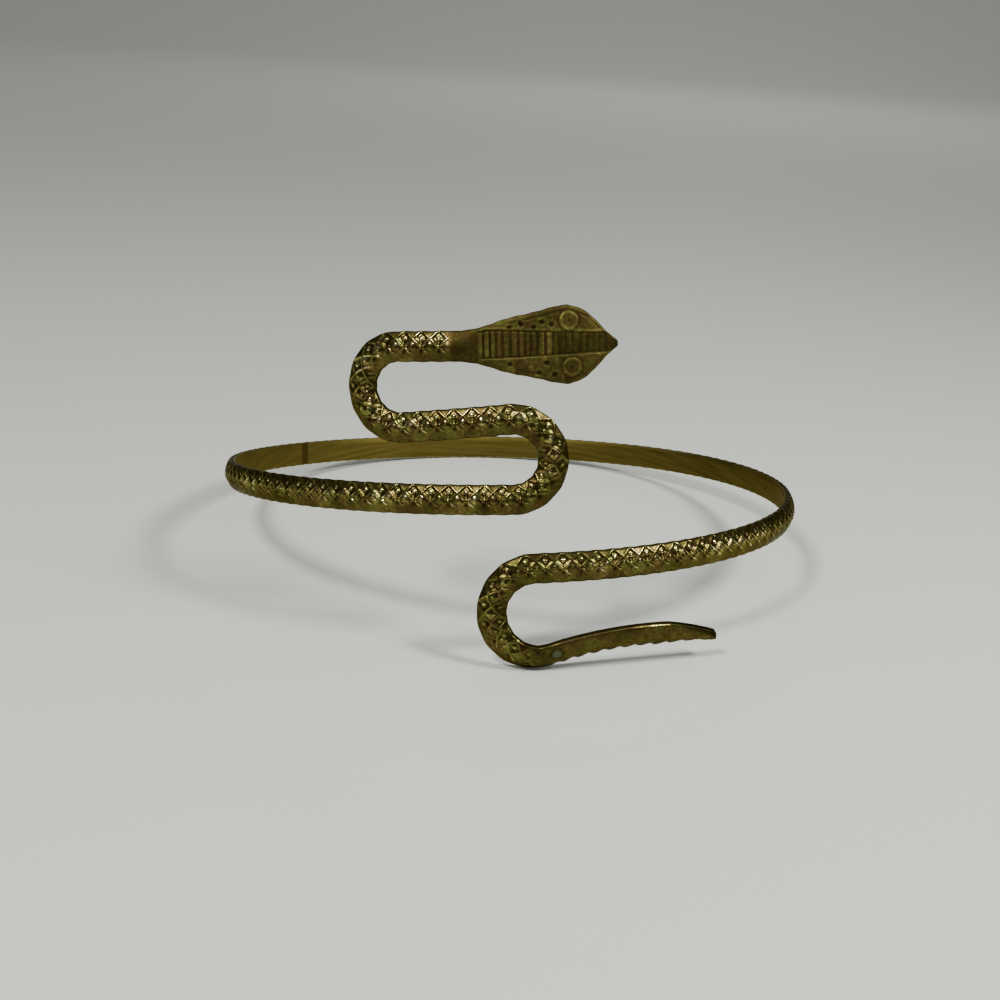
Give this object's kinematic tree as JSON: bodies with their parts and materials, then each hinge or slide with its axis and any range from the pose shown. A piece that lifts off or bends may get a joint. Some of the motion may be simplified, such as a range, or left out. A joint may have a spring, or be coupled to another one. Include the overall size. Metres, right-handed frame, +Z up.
{
  "type": "upper arm cuff",
  "caption": "Open coiled upper arm cuff in the form of a snake, with a scaled band, a flat hooded head and a tapering tail.",
  "frame": {"origin": "middle of the outline on the table the cuff stands on", "axes": "+Z up, -Y towards the head and tail at the front, +X to the wearer's side that the head points to"},
  "size_m": [0.079, 0.0802, 0.0417],
  "materials": {
    "brass": "aged solid brass, dull in the hollows and worn bright on the ridges"
  },
  "bodies": {
    "root": {"snake_cuff": "brass"}
  },
  "joints": []
}
